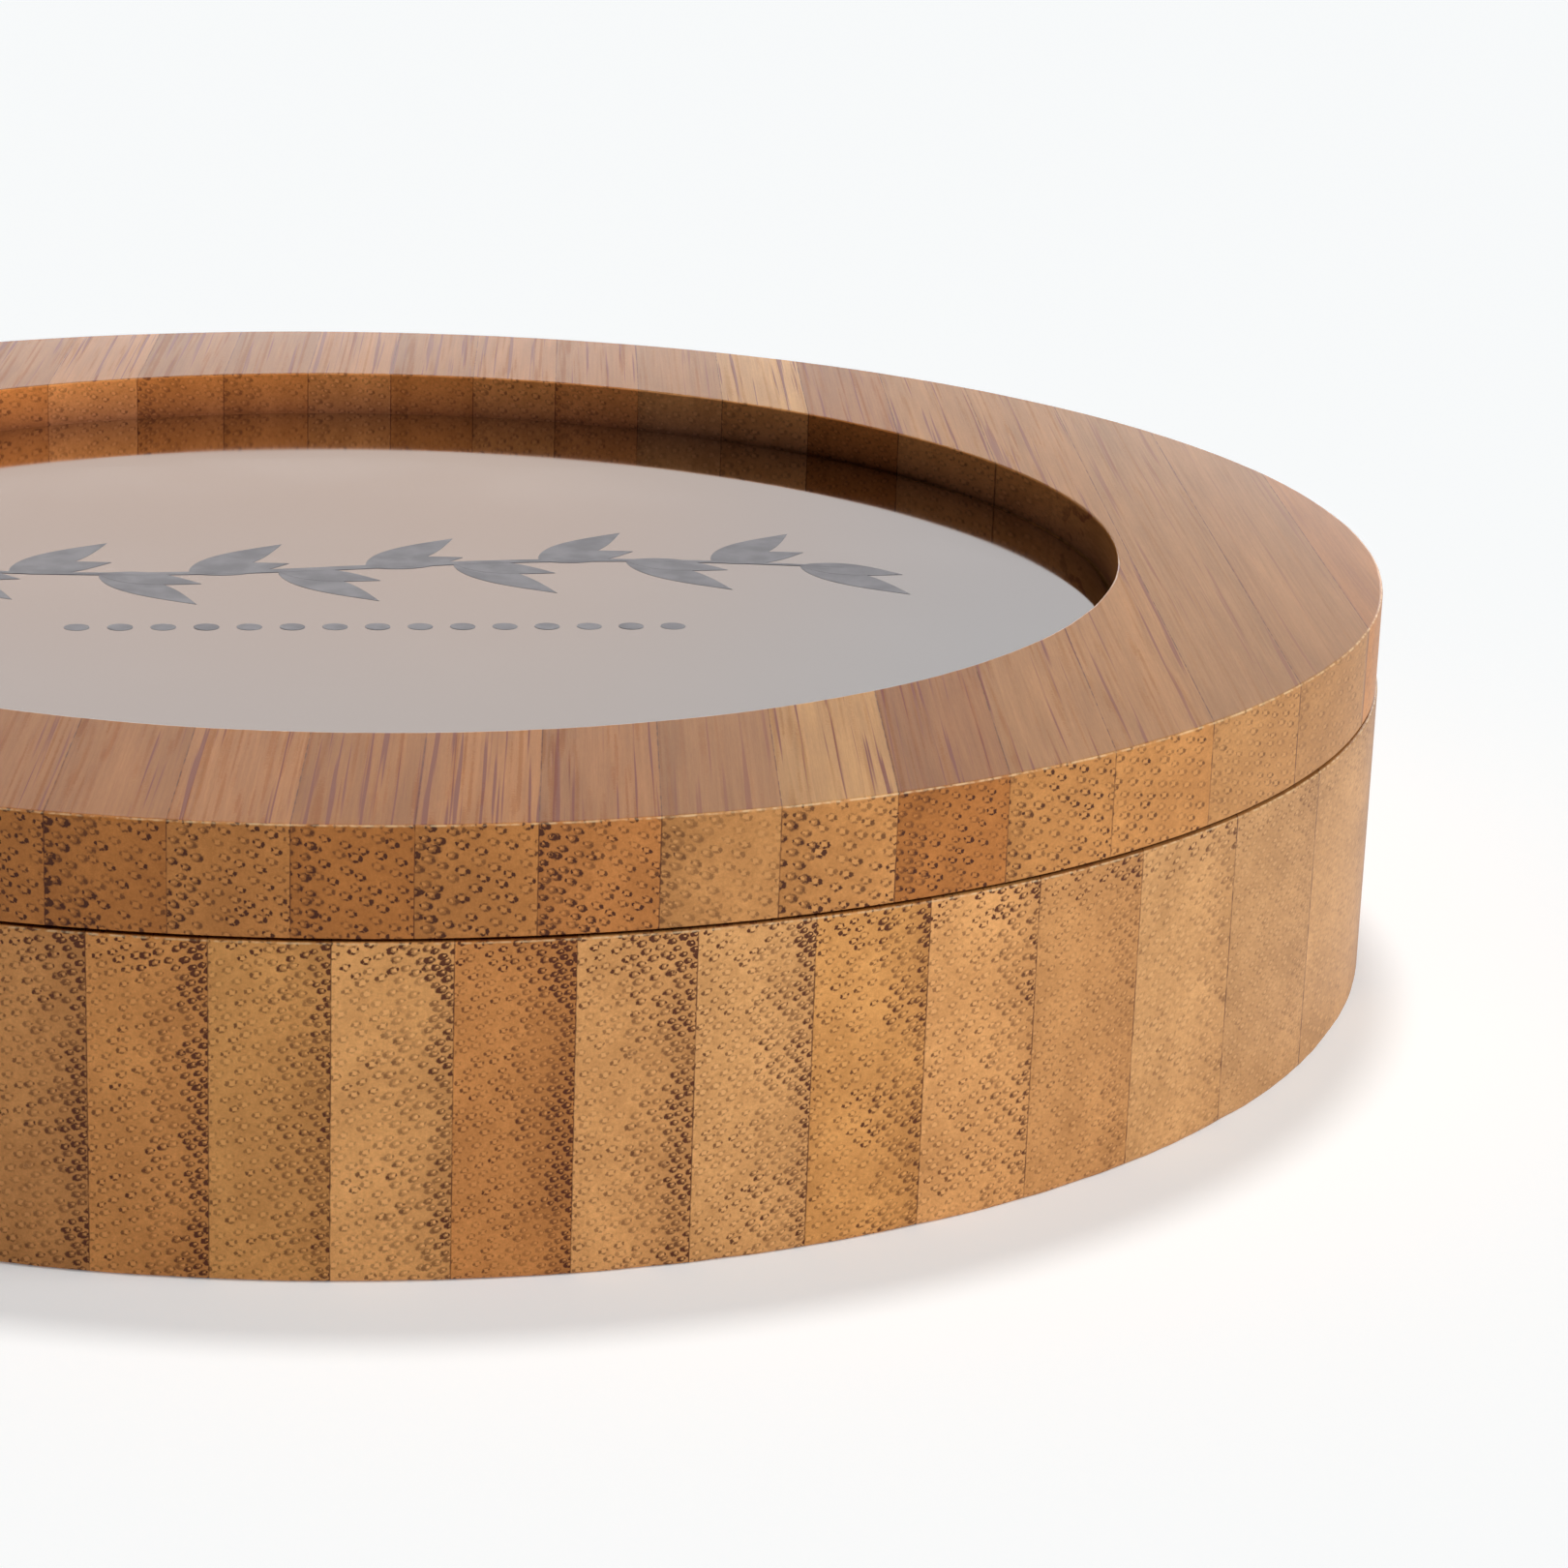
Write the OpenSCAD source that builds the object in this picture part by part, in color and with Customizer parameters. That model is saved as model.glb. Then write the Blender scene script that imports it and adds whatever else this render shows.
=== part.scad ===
// Round laminated bamboo case: a turned base with a pocket, a lift-off lid that
// centres on the pocket with a spigot, and a mirror glued into the lid's top.
//
// The base board and the lid board are each glued up from narrow bamboo strips.
// The strips stand side by side along X, and their fibres run along Y, so the
// turned edge shows end grain towards +Y and -Y. Each strip is its own solid.
// +Z is up, and the origin is the centre of the face that the case rests on.

/* [Laminate] */
// Thickness of one bamboo strip, from glue line to glue line
strip_w = 4.76; // [4.2:0.01:6]
// Distance along X from the case's axis to the nearest glue line of the base
base_shift = 1.14; // [0:0.01:4]
// Distance along X from the case's axis to the nearest glue line of the lid
lid_shift = 4.32; // [0:0.01:4.5]

/* [Base] */
// Outer radius of the base
base_r = 50.1; // [50:0.05:51]
// Height of the base to the rim that the lid rests on
base_h = 14.25; // [13:0.25:30]
// Radius of the pocket
pocket_r = 41.5; // [39:0.25:44]
// Thickness of the floor under the pocket
floor_t = 3; // [2:0.25:5]

/* [Lid] */
// Outer radius of the lid
lid_r = 50; // [49.9:0.05:50.5]
// Height of the lid above the base's rim
lid_h = 4.75; // [4.5:0.25:7]
// Length of the spigot that drops into the pocket
spigot_h = 2.75; // [2.5:0.25:4]
// Radial gap between the spigot and the pocket
spigot_gap = 0.15; // [0.05:0.05:0.4]
// Radius of the opening that frames the mirror
opening_r = 37.15; // [34:0.05:38]
// Depth from the lid's top face down to the mirror
recess_d = 2.25; // [1:0.05:2.4]
// Open height of the shadow line between the lid and the base
seam_h = 0.12; // [0.05:0.01:0.3]

/* [Mirror] */
// Thickness of the mirror
mirror_t = 1.8; // [1.5:0.1:2]
// Radial gap between the mirror and the opening's wall
mirror_gap = 0.15; // [0.05:0.05:0.5]
// Thickness of the adhesive pad under the mirror
pad_t = 0.3; // [0.1:0.1:0.5]
// Distance from the mirror's edge in to the pad's edge
pad_inset = 2; // [1:0.5:5]

/* [Edges] */
// Chamfer on the base's outer foot edge
foot_chamfer = 0.3; // [0.1:0.05:0.6]
// Chamfer on the base's outer rim edge
rim_chamfer = 0.2; // [0.1:0.05:0.4]
// Chamfer on the lid's outer edges and around the opening
lid_chamfer = 0.12; // [0.05:0.01:0.2]
// Lead-in chamfer on the pocket's mouth and on the spigot
lead_in = 0.4; // [0.2:0.1:0.8]

/* [Hidden] */
$fn = 180;

spigot_r = pocket_r - spigot_gap;
lid_top = base_h + lid_h;
spigot_bottom = base_h - spigot_h;
mirror_top = lid_top - recess_d;
mirror_bottom = mirror_top - mirror_t;
seat_z = mirror_bottom - pad_t; // floor of the lid's mirror seat
mirror_r = opening_r - mirror_gap;
mirror_chamfer = 0.2;
seam_land_r = pocket_r + 5; // the lid touches the rim from the pocket out to here

bamboo_tones = ["#d6a063", "#c58d52", "#b0753f"]; // light, honey, brown
base_tones = [1, 0, 1, 2, 1, 0, 2, 1, 2, 1, 1, 0, 2, 0, 0, 1, 0, 1, 0, 1, 0, 1];
lid_tones = [1, 0, 1, 2, 0, 1, 2, 1, 2, 1, 1, 2, 1, 2, 0, 1, 2, 0, 0, 1, 0, 1];

// The glue lines of a board of radius r lie strip_w apart, and no nearer to its
// edge than edge_min. These count them on each side of the axis.
edge_min = 0.6;
function lines_below(r, shift) = floor((r - edge_min + shift) / strip_w);
function lines_above(r, shift) = floor((r - edge_min - shift) / strip_w);
function strip_count(r, shift) = lines_below(r, shift) + lines_above(r, shift) + 2;
function two_digits(n) = str(n < 10 ? "0" : "", n);

base_count = strip_count(base_r, base_shift);
lid_count = strip_count(lid_r, lid_shift);
base_names = [for (i = [1:base_count]) str("base_strip_", two_digits(i))];
lid_names = [for (i = [1:lid_count]) str("lid_strip_", two_digits(i))];

// The space that strip number i of a board fills, before the board is turned. The
// first and last strips reach past the board's edge.
module strip_blank(i, r, shift) {
    first_line = shift - lines_below(r, shift) * strip_w;
    low_x = i == 1 ? -2 * r : first_line + (i - 2) * strip_w;
    high_x = i == strip_count(r, shift) ? 2 * r : first_line + (i - 1) * strip_w;
    translate([low_x, -2 * r, -1])
        cube([high_x - low_x, 4 * r, lid_top + 2]);
}

// The whole base as turned: a flat-bottomed cup
module base_turned() {
    rotate_extrude()
        polygon([
            [0, 0],
            [base_r - foot_chamfer, 0],
            [base_r, foot_chamfer],
            [base_r, base_h - rim_chamfer],
            [base_r - rim_chamfer, base_h],
            [pocket_r + lead_in, base_h],
            [pocket_r, base_h - lead_in],
            [pocket_r, floor_t],
            [0, floor_t]
        ]);
}

// The whole lid as turned: a flange with a spigot below and the mirror's seat above
module lid_turned() {
    rotate_extrude()
        polygon([
            [0, spigot_bottom],
            [spigot_r - lead_in, spigot_bottom],
            [spigot_r, spigot_bottom + lead_in],
            [spigot_r, base_h],
            [seam_land_r, base_h],
            [seam_land_r, base_h + seam_h],
            [lid_r - lid_chamfer, base_h + seam_h],
            [lid_r, base_h + seam_h + lid_chamfer],
            [lid_r, lid_top - lid_chamfer],
            [lid_r - lid_chamfer, lid_top],
            [opening_r + lid_chamfer, lid_top],
            [opening_r, lid_top - lid_chamfer],
            [opening_r, seat_z],
            [0, seat_z]
        ]);
}

module base_strip(i) {
    color(bamboo_tones[base_tones[(i - 1) % len(base_tones)]])
        intersection() {
            base_turned();
            strip_blank(i, base_r, base_shift);
        }
}

module lid_strip(i) {
    color(bamboo_tones[lid_tones[(i - 1) % len(lid_tones)]])
        intersection() {
            lid_turned();
            strip_blank(i, lid_r, lid_shift);
        }
}

module mirror_disc() {
    color("#c4bbb8")
        rotate_extrude()
            polygon([
                [0, mirror_bottom],
                [mirror_r - mirror_chamfer, mirror_bottom],
                [mirror_r, mirror_bottom + mirror_chamfer],
                [mirror_r, mirror_top - mirror_chamfer],
                [mirror_r - mirror_chamfer, mirror_top],
                [0, mirror_top]
            ]);
}

module mirror_adhesive() {
    color("#e6e4dd")
        translate([0, 0, seat_z])
            cylinder(r = mirror_r - pad_inset, h = pad_t);
}

for (i = [1:base_count])
    base_strip(i);
for (i = [1:lid_count])
    lid_strip(i);
mirror_disc();  // mirror
mirror_adhesive();
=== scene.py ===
"""Looks of a round laminated bamboo case with a mirror in its lid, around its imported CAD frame."""

import math
import random

import bmesh
import bpy
from mathutils import Matrix, Vector, noise


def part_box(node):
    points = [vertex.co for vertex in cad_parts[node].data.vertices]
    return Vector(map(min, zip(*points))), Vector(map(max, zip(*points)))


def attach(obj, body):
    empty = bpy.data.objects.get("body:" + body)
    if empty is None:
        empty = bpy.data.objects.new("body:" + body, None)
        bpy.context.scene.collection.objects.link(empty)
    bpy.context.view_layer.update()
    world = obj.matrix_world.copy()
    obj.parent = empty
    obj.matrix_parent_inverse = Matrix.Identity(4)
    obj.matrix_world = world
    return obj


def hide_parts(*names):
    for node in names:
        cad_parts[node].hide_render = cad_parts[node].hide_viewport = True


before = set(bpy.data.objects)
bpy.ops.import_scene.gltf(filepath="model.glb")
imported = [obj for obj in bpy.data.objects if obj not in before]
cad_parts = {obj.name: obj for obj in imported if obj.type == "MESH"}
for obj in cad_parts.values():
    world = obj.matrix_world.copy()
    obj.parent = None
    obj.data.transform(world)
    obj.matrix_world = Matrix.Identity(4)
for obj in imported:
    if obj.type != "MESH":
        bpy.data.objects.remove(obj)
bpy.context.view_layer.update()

MM = 0.001
STRIPS = 22  # in each board
FLOOR_SIZE = 8.0

# Sizes of the turned boards that no node's box gives, in millimetres
POCKET_R = 41.5
POCKET_FLOOR = 3.0
SPIGOT_GAP = 0.15
SEAM_LAND = 5.0
SEAM_H = 0.12
MIRROR_GAP = 0.15

TURN_STEPS = 540  # facets round the case
EASE_STEPS = 4  # facets round an eased edge


def srgb(red, green, blue):
    """A linear colour from 0 to 255 display values."""
    def linear(v):
        v /= 255
        return v / 12.92 if v <= 0.04045 else ((v + 0.055) / 1.055) ** 2.4
    return (linear(red), linear(green), linear(blue), 1.0)


# ---------------------------------------------------------------- node helpers


def plug(tree, socket, source):
    """Links source into socket, or sets the socket where source is a plain value."""
    if isinstance(source, bpy.types.NodeSocket):
        tree.links.new(source, socket)
    else:
        socket.default_value = source


def add(tree, kind, inputs=None, **settings):
    """A node with its settings, and its inputs linked or set by name or number."""
    node = tree.nodes.new(kind)
    for name, setting in settings.items():
        setattr(node, name, setting)
    for name, source in (inputs or {}).items():
        plug(tree, node.inputs[name], source)
    return node


def calc(tree, operation, *values, clamp=False):
    node = add(tree, "ShaderNodeMath", operation=operation, use_clamp=clamp)
    for socket, value in zip(node.inputs, values):
        plug(tree, socket, value)
    return node.outputs[0]


def times(tree, product, *factors):
    """The product of values and sockets."""
    for factor in factors:
        product = calc(tree, "MULTIPLY", product, factor)
    return product


def vector_calc(tree, operation, a, b=None):
    node = add(tree, "ShaderNodeVectorMath", operation=operation)
    plug(tree, node.inputs[0], a)
    if b is not None:
        plug(tree, node.inputs[1], b)
    return node.outputs["Value" if operation == "LENGTH" else "Vector"]


def vector(tree, x, y, z):
    return add(tree, "ShaderNodeCombineXYZ", {"X": x, "Y": y, "Z": z}).outputs[0]


def ramp(tree, value, low, high, to_low=0.0, to_high=1.0, smooth=True):
    """value taken from low..high to to_low..to_high, and held at both ends."""
    node = add(tree, "ShaderNodeMapRange", {
        "Value": value, "From Min": low, "From Max": high, "To Min": to_low, "To Max": to_high})
    node.interpolation_type = "SMOOTHSTEP" if smooth else "LINEAR"
    return node.outputs["Result"]


def blend(tree, factor, a, b, mode="MIX"):
    node = add(tree, "ShaderNodeMix", data_type="RGBA", blend_type=mode)
    plug(tree, node.inputs["Factor"], factor)
    plug(tree, node.inputs[6], a)
    plug(tree, node.inputs[7], b)
    return node.outputs[2]


def rough_noise(tree, at, scale=1.0, detail=2.0, roughness=0.5):
    """Noise about 0.5."""
    node = add(tree, "ShaderNodeTexNoise", {
        "Vector": at, "Scale": scale, "Detail": detail, "Roughness": roughness})
    return node.outputs[0]


# ---------------------------------------------------------------- bamboo

# Fibre bundles stand in three bands across a strip, from its sparse face (0) to its
# dense face (1). pitch is their spacing in mm. A spot is (x, z, radius x, radius z,
# strength), in mm from the bundle's centre, with the strip's dense face towards +x.
# husk is the bundle's outline, hollow is left paler inside it, and tint is its fill.
# glint is a pale spot in each bundle: partly its pale middle, partly a painted highlight
BUNDLE_BANDS = (
    {"from": -0.5, "to": 0.40, "pitch": (0.68, 0.50), "jitter": 0.36, "least": 0.42, "tint": 0.14,
     "husk": (0.0, 0.0, 0.215, 0.180, 0.40), "hollow": (0.02, 0.01, 0.175, 0.140, 1.0),
     "dots": ((-0.175, -0.02, 0.085, 0.105, 1.0), (0.17, 0.04, 0.058, 0.078, 0.85),
              (0.01, 0.140, 0.085, 0.042, 0.55), (-0.02, -0.135, 0.100, 0.052, 0.80)),
     "glint": (0.01, 0.0, 0.108, 0.100, 0.85)},
    {"from": 0.40, "to": 0.72, "pitch": (0.58, 0.43), "jitter": 0.32, "least": 0.50, "tint": 0.32,
     "husk": (-0.02, 0.0, 0.210, 0.160, 0.90), "hollow": (0.055, 0.014, 0.165, 0.118, 1.0),
     "dots": ((0.185, 0.03, 0.050, 0.062, 0.95), (-0.15, -0.02, 0.085, 0.100, 1.0)),
     "glint": (0.070, 0.02, 0.075, 0.062, 0.95)},
    {"from": 0.72, "to": 1.5, "pitch": (0.48, 0.36), "jitter": 0.28, "least": 0.60, "tint": 0.36,
     "husk": (-0.01, 0.0, 0.205, 0.142, 1.0), "hollow": (0.060, 0.016, 0.142, 0.094, 1.0),
     "dots": ((0.165, 0.02, 0.038, 0.048, 0.90), (-0.12, -0.01, 0.090, 0.105, 1.0)),
     "glint": (0.064, 0.030, 0.058, 0.040, 0.95)},
)
BAND_SEED_STEP = 11.7  # so that each band has its own lattice
ROW_SLOPE = 0.35  # the rows of bundles climb towards the dense face
BUNDLE_TILT = 0.14  # and so does each bundle
SPOT_FADE = (1.32, 0.66)  # a spot grows from 0 to full between these shares of its radii
BUNDLE_SHRINK = (1.20, 0.90)  # the smallest bundle is 1 / 1.20 of its size, the largest 1 / 0.90
FAINT_POWER = 1.2  # above 1, more bundles are faint than dark
RAGGED = 0.16  # how far a bundle's outline strays, in the bands' mm
RAGGED_SCALE = 9.0

# How the cut surface wanders against the bundles: per mm along X and Y, and mm in all
WANDER_STRETCH = (0.10, 0.030)
WANDER_X = 0.4
WANDER_Z = 1.8
WANDER_APART = (0.0, 31.7, 0.0)  # between the two noises

# A noise of the wood is (stretch per mm along X, Y and Z, detail, roughness)
BLOTCH = ((0.38, 0.03, 0.26), 4.0, 0.6)
FIBRE = ((7.0, 0.10, 7.0), 3.0, 0.6)
MOTTLE = ((1.9, 0.12, 1.9), 2.0, 0.5)
FINE = ((20.0, 1.2, 20.0), 2.0, 0.5)
LINE = ((2.9, 0.030, 1.0), 2.0, 0.65)
PATCH_SCALE = 0.40
GLUE_SCALE = 1.4
PALE_EDGE_SCALE = 2.6

# A ramp is (from, to, result at from, result at to), the results 0 and 1 where left out
END_GRAIN = (0.10, 0.40)  # of how far a face is turned to Y
PATCH_STRENGTH = (0.30, 0.70, 0.65, 1.15)
DENSE_STRENGTH = (0.62, 0.98, 0.78, 1.40)
BLOTCH_LIGHT = (0.25, 0.75, 0.80, 1.18)
FIBRE_LIGHT = (0.25, 0.75, 0.88, 1.12)
MOTTLE_LIGHT = (0.25, 0.75, 0.92, 1.08)
FINE_LIGHT = (0.2, 0.8, 0.92, 1.08)
DENSE_LIGHT = (0.3, 1.0, 1.04, 0.86)
PALE_LINE = (0.40, 0.31)
DARK_LINE = (0.565, 0.66)
GLUE_LINE = (0.045, 0.012, 0.0, 0.75)  # of the distance from the strip's face in mm
GLUE_BREAKS = (0.35, 0.6, 0.35, 1.0)
# The pale band along the board's outer edge is partly wear and partly a painted highlight
PALE_EDGE_REACH = (0.11, 0.03)  # of the distance from the board's edge in mm
PALE_EDGE_BREAKS = (0.38, 0.62, 0.05, 0.65)

# What differs between the boards' faces, along the fibres, and the end grain: (face, end grain)
PALE_LINE_AMOUNT = (0.45, 0.0)
GLINT_AMOUNT = (0.15, 0.85)
MARK_RELIEF = (0.10, 1.0)
POLISH = (0.20, 0.04)
SPECULAR = (0.05, 0.14)
FACE_MARKS = 0.26  # the bundles' strength on the boards' faces
FACE_LINES = 0.66
END_MARKS = 0.95

LIGHT_POWERS = (1.15, 1.35)  # green and blue fall faster than red where the wood is dark
# The glint's colour: partly pale wood, partly a painted highlight
GLINT_TINT = (1.20, 1.27, 1.38, 1.0)
LINE_COLOUR = srgb(124, 65, 43)
GLUE_COLOUR = srgb(84, 44, 28)
# Colour of the pale outer edge: partly wear, partly a painted highlight
WORN_AND_HIGHLIGHT_COLOUR = srgb(244, 214, 168)
RIM_START, RIM_FULL = 1.9, 0.7  # mm under the rim where the marks begin to darken, and are darkest
RIM_GAIN = 0.9
WALL_MARGIN_R, WALL_MARGIN_Z = 0.04, 0.1  # mm outside a recess that still count as its wall
WALL_FADE = 0.60  # how much fainter its marks are
# Painted shade at the foot of a recess's wall and painted light at its lip, as multipliers of its colour
WALL_FOOT_PAINTED_SHADE = (0.80, 0.75, 1.20, 1)
WALL_LIP_PAINTED_LIGHT = (1.57, 1.50, 1.66, 1)
GLOSS = (0.48, 0.62)  # roughness of the wood, and of a mark
GLINT_HEIGHT, FINE_HEIGHT, GLUE_DEPTH = 0.25, 0.25, 0.4  # in depths of a mark
MARK_DEPTH = 0.03  # mm
BUMP_STRENGTH = 0.11
COAT_ROUGHNESS = 0.12


def spot(tree, local, x, z, radius_x, radius_z, strength):
    """An oval mark, strength at its middle and 0 outside."""
    at = vector_calc(tree, "SUBTRACT", local, (x, z, 0))
    at = vector_calc(tree, "MULTIPLY", at, (1 / radius_x, 1 / radius_z, 0))
    return ramp(tree, vector_calc(tree, "LENGTH", at), *SPOT_FADE, 0.0, strength)


def bundle_cell(tree, across, up, seed, band):
    """(x, z) in mm from the nearest bundle's centre, and its two random numbers."""
    pitch_x, pitch_z = band["pitch"]
    climbed = calc(tree, "SUBTRACT", up, calc(tree, "MULTIPLY", across, ROW_SLOPE))
    row = calc(tree, "DIVIDE", climbed, pitch_z)
    column = calc(tree, "MULTIPLY_ADD", across, 1 / pitch_x, calc(tree, "MULTIPLY", row, 0.5))
    lattice = vector(tree, calc(tree, "ADD", column, seed), calc(tree, "ADD", row, seed), 0.0)
    cell = add(tree, "ShaderNodeTexVoronoi", {
        "Vector": lattice, "Scale": 1.0, "Randomness": band["jitter"]},
        voronoi_dimensions="2D", feature="F1")
    step = add(tree, "ShaderNodeSeparateXYZ", {
        0: vector_calc(tree, "SUBTRACT", lattice, cell.outputs["Position"])}).outputs
    local_x = calc(tree, "MULTIPLY_ADD", step[1], -0.5, step[0])
    local_x = calc(tree, "MULTIPLY", local_x, pitch_x)
    local_z = calc(tree, "MULTIPLY", local_x, ROW_SLOPE - BUNDLE_TILT)
    local_z = calc(tree, "MULTIPLY_ADD", step[1], pitch_z, local_z)
    chance = add(tree, "ShaderNodeSeparateColor", {0: cell.outputs["Color"]}).outputs
    return local_x, local_z, chance[0], chance[1]


def bundle_band(tree, across, up, seed, width, band):
    """(dark, pale) marks of one band of bundles on the plane of a strip's end grain."""
    local_x, local_z, faint, small = bundle_cell(tree, across, up, seed, band)
    centre = calc(tree, "DIVIDE", calc(tree, "SUBTRACT", across, local_x), width)
    shown = calc(tree, "MULTIPLY", calc(tree, "GREATER_THAN", centre, band["from"]),
                 calc(tree, "LESS_THAN", centre, band["to"]))
    shrink = ramp(tree, small, 0.0, 1.0, *BUNDLE_SHRINK, smooth=False)
    local = vector_calc(tree, "MULTIPLY", vector(tree, local_x, local_z, 0.0),
                        vector(tree, shrink, shrink, 0.0))

    hollow = ramp(tree, spot(tree, local, *band["hollow"]), 0.0, 1.0, 1.0, band["tint"], smooth=False)
    dark = calc(tree, "MULTIPLY", spot(tree, local, *band["husk"]), hollow)
    for dot in band["dots"]:
        dark = calc(tree, "MAXIMUM", dark, spot(tree, local, *dot))
    # The glint, partly the bundle's pale middle and partly a painted highlight
    pale = spot(tree, local, *band["glint"])
    dark = calc(tree, "MULTIPLY", dark, calc(tree, "SUBTRACT", 1.0, pale))
    depth = ramp(tree, calc(tree, "POWER", faint, FAINT_POWER), 0.0, 1.0, band["least"], 1.0, smooth=False)
    dark = times(tree, dark, depth, shown)
    return dark, calc(tree, "MULTIPLY", pale, shown)


def bundles(tree, given, place, share, cut_z):
    """(dark, pale) marks of all the bands, their outlines ragged."""
    ragged = add(tree, "ShaderNodeTexNoise", {"Vector": place, "Scale": RAGGED_SCALE, "Detail": 2.0})
    ragged = vector_calc(tree, "SUBTRACT", ragged.outputs["Color"], (0.5, 0.5, 0.5))
    ragged = vector_calc(tree, "MULTIPLY", ragged, (RAGGED, RAGGED, 0))
    stray_x, stray_z, _ = add(tree, "ShaderNodeSeparateXYZ", {0: ragged}).outputs
    width = calc(tree, "DIVIDE", given["Width"], given["Grain size"])
    across = calc(tree, "ADD", calc(tree, "MULTIPLY", share, width), stray_x)
    up = calc(tree, "ADD", calc(tree, "DIVIDE", cut_z, given["Grain size"]), stray_z)
    dark = pale = None
    for number, band in enumerate(BUNDLE_BANDS):
        seed = calc(tree, "ADD", given["Seed"], BAND_SEED_STEP * number)
        band_dark, band_pale = bundle_band(tree, across, up, seed, width, band)
        dark = band_dark if dark is None else calc(tree, "MAXIMUM", dark, band_dark)
        pale = band_pale if pale is None else calc(tree, "MAXIMUM", pale, band_pale)
    return dark, pale


def wandering(tree, coordinate, at, reach):
    """A coordinate moved by up to half of reach either way."""
    moved = calc(tree, "MULTIPLY_ADD", rough_noise(tree, at, detail=0.0), reach, -reach / 2)
    return calc(tree, "ADD", coordinate, moved)


def grain_noise(tree, place, pattern, offset=None):
    """One of the wood's noises, moved by offset."""
    stretch, detail, roughness = pattern
    at = vector_calc(tree, "MULTIPLY", place, stretch)
    if offset is not None:
        at = vector_calc(tree, "ADD", at, offset)
    return rough_noise(tree, at, detail=detail, roughness=roughness)


def mark_strength(tree, given, place, share, z, wall, seeded):
    """Patchy, darker towards the dense face and at the rim, and fainter on a recess's wall."""
    patch = rough_noise(tree, vector_calc(tree, "ADD", place, seeded), scale=PATCH_SCALE)
    rim = ramp(tree, z, calc(tree, "SUBTRACT", given["Dark rim"], RIM_START),
               calc(tree, "SUBTRACT", given["Dark rim"], RIM_FULL))
    return times(tree, given["Contrast"], ramp(tree, patch, *PATCH_STRENGTH),
                 ramp(tree, share, *DENSE_STRENGTH),
                 calc(tree, "MULTIPLY_ADD", rim, RIM_GAIN, 1.0),
                 calc(tree, "MULTIPLY_ADD", wall, -WALL_FADE, 1.0))


def wood_light(tree, place, share, fine, seeded):
    """How light the wood between the bundles is, about 1."""
    return times(tree, ramp(tree, grain_noise(tree, place, BLOTCH, seeded), *BLOTCH_LIGHT, smooth=False),
                 ramp(tree, grain_noise(tree, place, FIBRE), *FIBRE_LIGHT, smooth=False),
                 ramp(tree, grain_noise(tree, place, MOTTLE), *MOTTLE_LIGHT, smooth=False),
                 ramp(tree, fine, *FINE_LIGHT, smooth=False), ramp(tree, share, *DENSE_LIGHT))


def by_grain(tree, end_grain, amounts):
    """The first of two amounts on the boards' faces, and the second on the end grain."""
    return ramp(tree, end_grain, 0.0, 1.0, *amounts)


def marked_wood(tree, given, light, end_grain, marks, pale, line):
    """The wood's colour with its marks, its glints (partly pale wood, partly a painted highlight), and the
    lines that run along its faces.
    """
    deeper = vector(tree, light, *(calc(tree, "POWER", light, power) for power in LIGHT_POWERS))
    tint = blend(tree, end_grain, given["Face tint"], given["End tint"])
    tone = blend(tree, 1.0, given["Tone"], tint, mode="MULTIPLY")
    wood = vector_calc(tree, "MULTIPLY", tone, deeper)
    pale_line = calc(tree, "MULTIPLY", ramp(tree, line, *PALE_LINE),
                     by_grain(tree, end_grain, PALE_LINE_AMOUNT))
    glint = calc(tree, "MULTIPLY", pale, by_grain(tree, end_grain, GLINT_AMOUNT))
    # glow colours the pale lines and the glints, and the glints are partly a painted highlight
    glow = blend(tree, 1.0, tone, GLINT_TINT, mode="MULTIPLY")
    colour = blend(tree, calc(tree, "MAXIMUM", glint, pale_line), wood, glow)
    dark_line = times(tree, ramp(tree, line, *DARK_LINE), given["Contrast"], FACE_LINES)
    face_amount = calc(tree, "MAXIMUM", calc(tree, "MULTIPLY", marks, FACE_MARKS), dark_line)
    end_amount = calc(tree, "MULTIPLY", marks, END_MARKS)
    amount = blend(tree, end_grain, vector(tree, face_amount, face_amount, face_amount),
                   vector(tree, end_amount, end_amount, end_amount))
    return blend(tree, amount, colour, blend(tree, end_grain, LINE_COLOUR, given["Dark"]))


def pale_edge_wear_and_highlight(tree, given, place, radius, z):
    """How far the board's outer edge is pale: partly rubbed wear, partly a painted highlight."""
    return times(tree, ramp(tree, calc(tree, "SUBTRACT", given["Edge radius"], radius), *PALE_EDGE_REACH),
                 ramp(tree, calc(tree, "SUBTRACT", given["Edge height"], z), *PALE_EDGE_REACH),
                 ramp(tree, rough_noise(tree, place, scale=PALE_EDGE_SCALE), *PALE_EDGE_BREAKS))


def recess_wall(tree, given, radius, z):
    """1 on the wall of the board's recess, and 0 elsewhere."""
    inside = calc(tree, "LESS_THAN", radius, calc(tree, "ADD", given["Wall radius"], WALL_MARGIN_R))
    above = calc(tree, "GREATER_THAN", z, calc(tree, "SUBTRACT", given["Wall foot"], WALL_MARGIN_Z))
    return calc(tree, "MULTIPLY", inside, above)


def wall_painted_shading(tree, given, z):
    """Painted shade at the foot of a recess's wall, and painted light at its lip."""
    height = calc(tree, "SUBTRACT", given["Wall top"], given["Wall foot"])
    climb = calc(tree, "DIVIDE", calc(tree, "SUBTRACT", z, given["Wall foot"]), height, clamp=True)
    return blend(tree, climb, WALL_FOOT_PAINTED_SHADE, WALL_LIP_PAINTED_LIGHT)


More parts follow.
